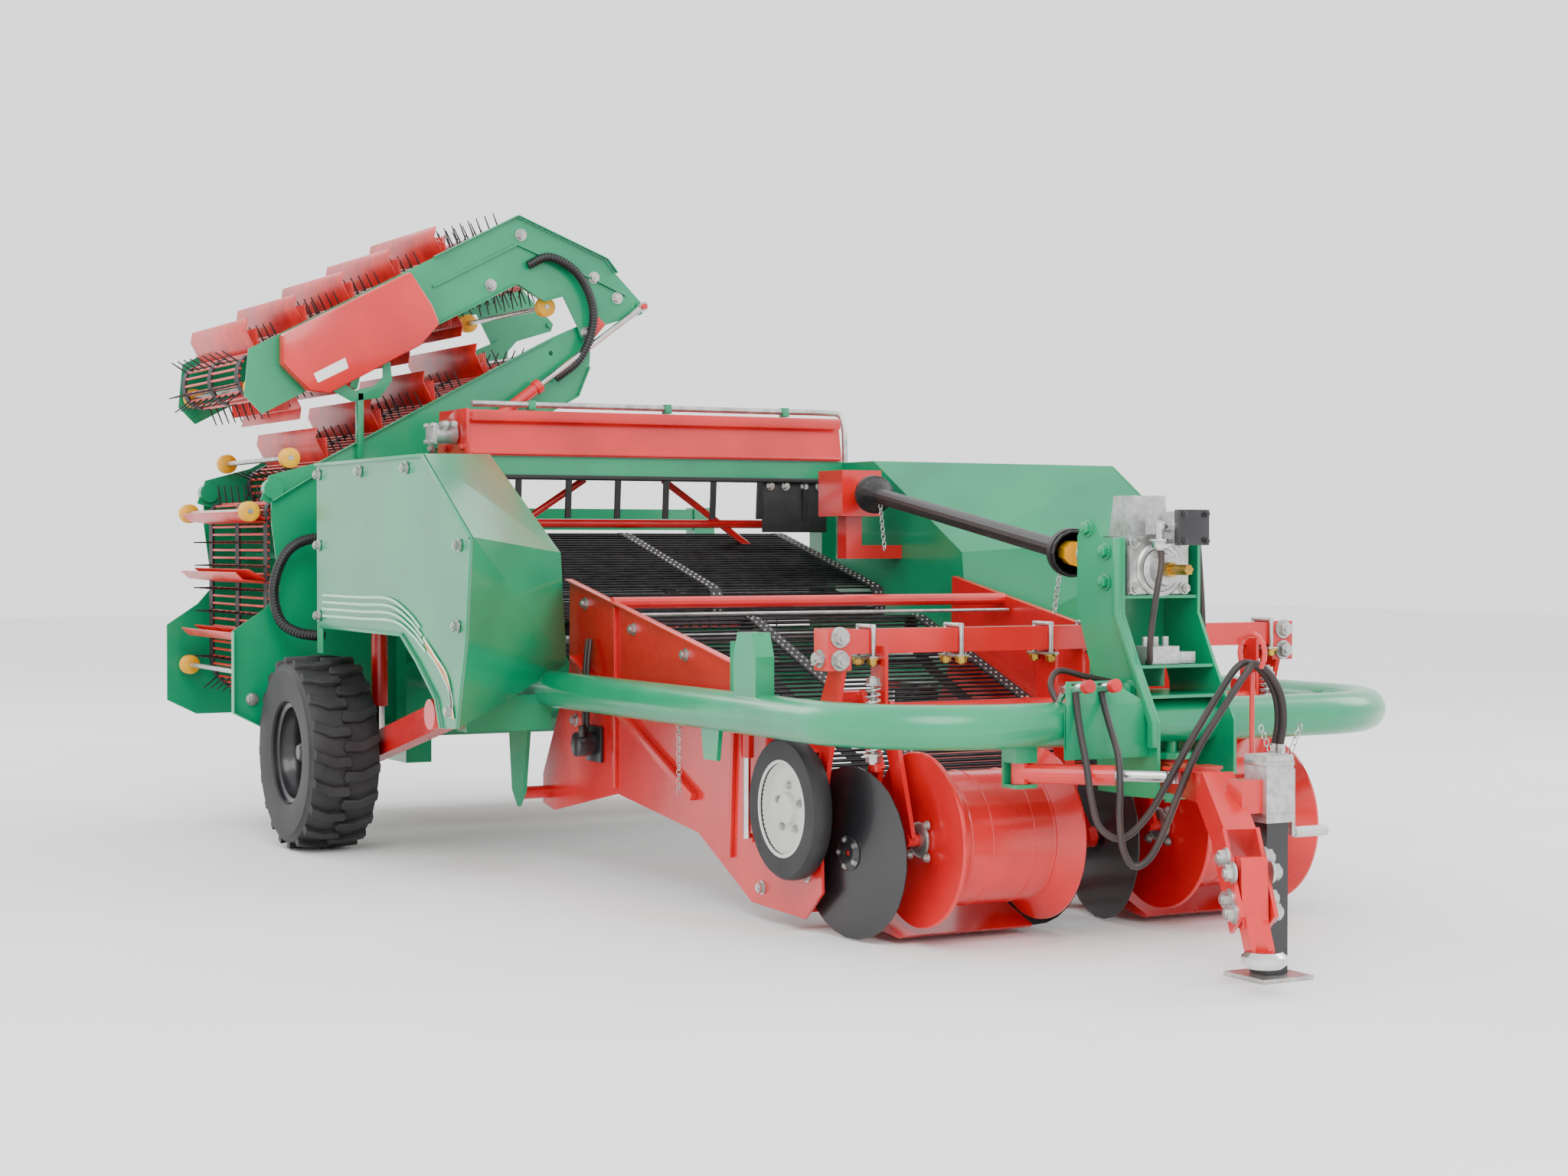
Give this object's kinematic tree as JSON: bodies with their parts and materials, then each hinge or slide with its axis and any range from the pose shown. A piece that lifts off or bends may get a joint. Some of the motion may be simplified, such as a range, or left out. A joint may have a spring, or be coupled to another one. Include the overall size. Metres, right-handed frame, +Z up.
{
  "type": "trailed two-row root-crop harvester",
  "caption": "Trailed two-row potato harvester with drawbar, ridge rollers, coulter discs, rod web, tyres and a folding discharge elevator.",
  "frame": {"origin": "on the ground under the middle of the whole machine's bounding box", "axes": "+Y to the rear, away from the tractor; +Z up; +X to the right when looking from the tractor to the rear, and left and right in the names are meant that way"},
  "size_m": [3.5835, 6.5362, 2.824],
  "materials": {
    "green_enamel": "gloss",
    "red_enamel": "gloss",
    "black_steel": "satin",
    "zinc_steel": "satin",
    "brass": "satin",
    "black_rubber": "matte",
    "tyre_rubber": "matte",
    "black_plastic": "matte",
    "yellow_plastic": "satin",
    "red_belt": "satin"
  },
  "bodies": {
    "root": {"main_frame": "green_enamel", "tower": "green_enamel", "input_gearbox": "zinc_steel", "hydraulic_pump": "black_steel", "shaft_guard": "black_plastic", "transfer_gearbox": "red_enamel", "side_cover_left": "green_enamel", "side_cover_right": "green_enamel", "rear_chassis": "green_enamel", "cross_beam": "green_enamel", "hood": "red_enamel", "upper_web": "black_rubber", "elevator_lower_frame": "green_enamel", "elevator_lower_belt": "red_belt", "level_barrel_left": "red_enamel", "level_barrel_right": "red_enamel", "tractor_hose_left": "black_rubber", "tractor_hose_right": "black_rubber"},
    "curtain": {"finger_curtain": "black_steel"},
    "pto_input": {"input_stub": "brass"},
    "shaft": {"drive_shaft": "yellow_plastic"},
    "drawbar": {"drawbar": "red_enamel", "tow_eye": "red_enamel", "jack_head": "zinc_steel", "jack_tube": "black_steel"},
    "jack_leg": {"jack_leg": "zinc_steel"},
    "jack_crank": {"jack_crank": "zinc_steel"},
    "steering_barrel": {"steering_barrel": "red_enamel"},
    "steering_rod": {"steering_rod": "zinc_steel"},
    "intake": {"intake_frame": "red_enamel", "toolbar": "red_enamel", "intake_web": "black_rubber"},
    "lift_barrel": {"lift_barrel_left": "red_enamel"},
    "lift_rod": {"lift_rod_left": "zinc_steel"},
    "roller_frame": {"roller_frame": "red_enamel"},
    "roller_left": {"ridge_roller_left": "red_enamel"},
    "roller_right": {"ridge_roller_right": "red_enamel"},
    "disc_arm_left": {"disc_arm_left": "red_enamel"},
    "disc_arm_right": {"disc_arm_right": "red_enamel"},
    "disc_arm_centre": {"disc_arm_centre": "red_enamel"},
    "disc_outer_left": {"disc_outer_left": "black_steel"},
    "disc_outer_right": {"disc_outer_right": "black_steel"},
    "disc_inner_left": {"disc_inner_left": "black_steel"},
    "disc_inner_right": {"disc_inner_right": "black_steel"},
    "haulm_left": {"haulm_wheel_left": "black_rubber"},
    "haulm_right": {"haulm_wheel_right": "black_rubber"},
    "wheel_arm_left": {"wheel_arm_left": "red_enamel"},
    "wheel_arm_right": {"wheel_arm_right": "red_enamel"},
    "wheel_left": {"tyre_left": "tyre_rubber", "rim_left": "black_steel"},
    "wheel_right": {"tyre_right": "tyre_rubber", "rim_right": "black_steel"},
    "level_rod_left": {"level_rod_left": "zinc_steel"},
    "level_rod_right": {"level_rod_right": "zinc_steel"},
    "inner_arm": {"elevator_inner_arm": "green_enamel", "elevator_inner_belt": "red_belt", "fold_barrel": "red_enamel"},
    "outer_arm": {"elevator_outer_arm": "green_enamel", "elevator_outer_belt": "red_belt"},
    "fold_rod": {"fold_rod": "zinc_steel"}
  },
  "joints": [
    {"name": "pto_input", "type": "hinge", "parent": "root", "child": "pto_input", "pos_m": [0.048, -2.362, 1.221], "axis": [0, -1, 0], "continuous": true},
    {"name": "shaft_spin", "type": "hinge", "parent": "root", "child": "shaft", "pos_m": [0.048, -1.802, 1.27], "axis": [-0.2597, -0.9609, -0.0965], "continuous": true},
    {"name": "curtain_swing", "type": "hinge", "parent": "root", "child": "curtain", "pos_m": [0.048, 1.428, 1.6], "axis": [-1, 0, 0], "range_deg": [-20, 35]},
    {"name": "drawbar_swing", "type": "hinge", "parent": "root", "child": "drawbar", "pos_m": [0.048, -2.332, 0.56], "axis": [0, 0, 1], "range_deg": [0, 40], "deforming": ["tractor_hose_left", "tractor_hose_right"]},
    {"name": "steering_barrel_swing", "type": "hinge", "parent": "root", "child": "steering_barrel", "pos_m": [-0.512, -2.302, 0.585], "axis": [0, 0, 1], "range_deg": [-1, 10.96]},
    {"name": "steering_rod_slide", "type": "slide", "parent": "steering_barrel", "child": "steering_rod", "axis": [0.7174, -0.6966, 0], "range_m": [-0.003, 0.2381]},
    {"name": "jack_leg_slide", "type": "slide", "parent": "drawbar", "child": "jack_leg", "axis": [0, 0, -1], "range_m": [0, 0.3]},
    {"name": "jack_crank_turn", "type": "hinge", "parent": "drawbar", "child": "jack_crank", "pos_m": [0.015, -2.932, 0.62], "axis": [1, 0, 0], "range_deg": [0, 10800]},
    {"name": "intake_lift", "type": "hinge", "parent": "root", "child": "intake", "pos_m": [0.048, 0.648, 0.29], "axis": [-1, 0, 0], "range_deg": [0, 3.5]},
    {"name": "lift_barrel_swing", "type": "hinge", "parent": "root", "child": "lift_barrel", "pos_m": [-0.917, -1.222, 0.93], "axis": [1, 0, 0], "range_deg": [-1, 1.76]},
    {"name": "lift_rod_slide", "type": "slide", "parent": "lift_barrel", "child": "lift_rod", "axis": [-0.0156, -0.0312, 0.9994], "range_m": [-0.003, 0.1167]},
    {"name": "roller_frame_swing", "type": "hinge", "parent": "intake", "child": "roller_frame", "pos_m": [0.048, -1.792, 0.76], "axis": [1, 0, 0], "range_deg": [-12, 0]},
    {"name": "roller_spin_left", "type": "hinge", "parent": "roller_frame", "child": "roller_left", "pos_m": [-0.432, -1.932, 0.345], "axis": [1, 0, 0], "continuous": true},
    {"name": "roller_spin_right", "type": "hinge", "parent": "roller_frame", "child": "roller_right", "pos_m": [0.528, -1.932, 0.345], "axis": [1, 0, 0], "continuous": true},
    {"name": "disc_arm_swing_left", "type": "hinge", "parent": "intake", "child": "disc_arm_left", "pos_m": [-0.752, -1.682, 0.8], "axis": [1, 0, 0], "range_deg": [-12, 0]},
    {"name": "disc_spin_outer_left", "type": "hinge", "parent": "disc_arm_left", "child": "disc_outer_left", "pos_m": [-0.792, -1.732, 0.29], "axis": [-0.9903, -0.1392, 0], "continuous": true},
    {"name": "disc_arm_swing_right", "type": "hinge", "parent": "intake", "child": "disc_arm_right", "pos_m": [0.848, -1.682, 0.8], "axis": [1, 0, 0], "range_deg": [-12, 0]},
    {"name": "disc_spin_outer_right", "type": "hinge", "parent": "disc_arm_right", "child": "disc_outer_right", "pos_m": [0.888, -1.732, 0.29], "axis": [0.9903, -0.1392, 0], "continuous": true},
    {"name": "disc_arm_swing_centre", "type": "hinge", "parent": "intake", "child": "disc_arm_centre", "pos_m": [0.048, -1.682, 0.8], "axis": [1, 0, 0], "range_deg": [-12, 0]},
    {"name": "disc_spin_inner_left", "type": "hinge", "parent": "disc_arm_centre", "child": "disc_inner_left", "pos_m": [-0.102, -1.732, 0.29], "axis": [-0.9903, -0.1392, 0], "continuous": true},
    {"name": "disc_spin_inner_right", "type": "hinge", "parent": "disc_arm_centre", "child": "disc_inner_right", "pos_m": [0.198, -1.732, 0.29], "axis": [0.9903, -0.1392, 0], "continuous": true},
    {"name": "haulm_spin_left", "type": "hinge", "parent": "intake", "child": "haulm_left", "pos_m": [-0.901, -1.502, 0.42], "axis": [1, 0, 0], "continuous": true},
    {"name": "haulm_spin_right", "type": "hinge", "parent": "intake", "child": "haulm_right", "pos_m": [0.997, -1.502, 0.42], "axis": [1, 0, 0], "continuous": true},
    {"name": "wheel_arm_swing_left", "type": "hinge", "parent": "root", "child": "wheel_arm_left", "pos_m": [-1.422, 0.328, 0.645], "axis": [-1, 0, 0], "range_deg": [0, 6]},
    {"name": "wheel_spin_left", "type": "hinge", "parent": "wheel_arm_left", "child": "wheel_left", "pos_m": [-1.542, 1.568, 0.41392], "axis": [1, 0, 0], "continuous": true},
    {"name": "level_rod_slide_left", "type": "slide", "parent": "root", "child": "level_rod_left", "axis": [0, 0, -1], "range_m": [0, 0.135]},
    {"name": "wheel_arm_swing_right", "type": "hinge", "parent": "root", "child": "wheel_arm_right", "pos_m": [1.518, 0.328, 0.645], "axis": [-1, 0, 0], "range_deg": [0, 6]},
    {"name": "wheel_spin_right", "type": "hinge", "parent": "wheel_arm_right", "child": "wheel_right", "pos_m": [1.638, 1.568, 0.41392], "axis": [1, 0, 0], "continuous": true},
    {"name": "level_rod_slide_right", "type": "slide", "parent": "root", "child": "level_rod_right", "axis": [0, 0, -1], "range_m": [0, 0.135]},
    {"name": "inner_arm_lift", "type": "hinge", "parent": "root", "child": "inner_arm", "pos_m": [-1.597, 2.568, 1.55], "axis": [0, -1, 0], "range_deg": [0, 20]},
    {"name": "outer_arm_fold", "type": "hinge", "parent": "inner_arm", "child": "outer_arm", "pos_m": [-0.092, 2.568, 2.3], "axis": [0, 1, 0], "range_deg": [0, 150]},
    {"name": "fold_rod_slide", "type": "slide", "parent": "inner_arm", "child": "fold_rod", "axis": [-0.8059, 0, -0.5921], "range_m": [-0.003, 0.5978]}
  ],
  "couplings": [
    {"joint": "shaft_spin", "follows": "pto_input", "ratio": 1},
    {"joint": "steering_barrel_swing", "follows": "drawbar_swing", "ratio": 0.249},
    {"joint": "steering_rod_slide", "follows": "drawbar_swing", "m_per_rad": 0.33529},
    {"joint": "jack_leg_slide", "follows": "jack_crank_turn", "m_per_rad": 0.0015915},
    {"joint": "lift_barrel_swing", "follows": "intake_lift", "ratio": 0.21648},
    {"joint": "lift_rod_slide", "follows": "intake_lift", "m_per_rad": 1.8452},
    {"joint": "level_rod_slide_left", "follows": "wheel_arm_swing_left", "m_per_rad": 1.25},
    {"joint": "level_rod_slide_right", "follows": "wheel_arm_swing_right", "m_per_rad": 1.25},
    {"joint": "fold_rod_slide", "follows": "outer_arm_fold", "m_per_rad": 0.2268}
  ]
}
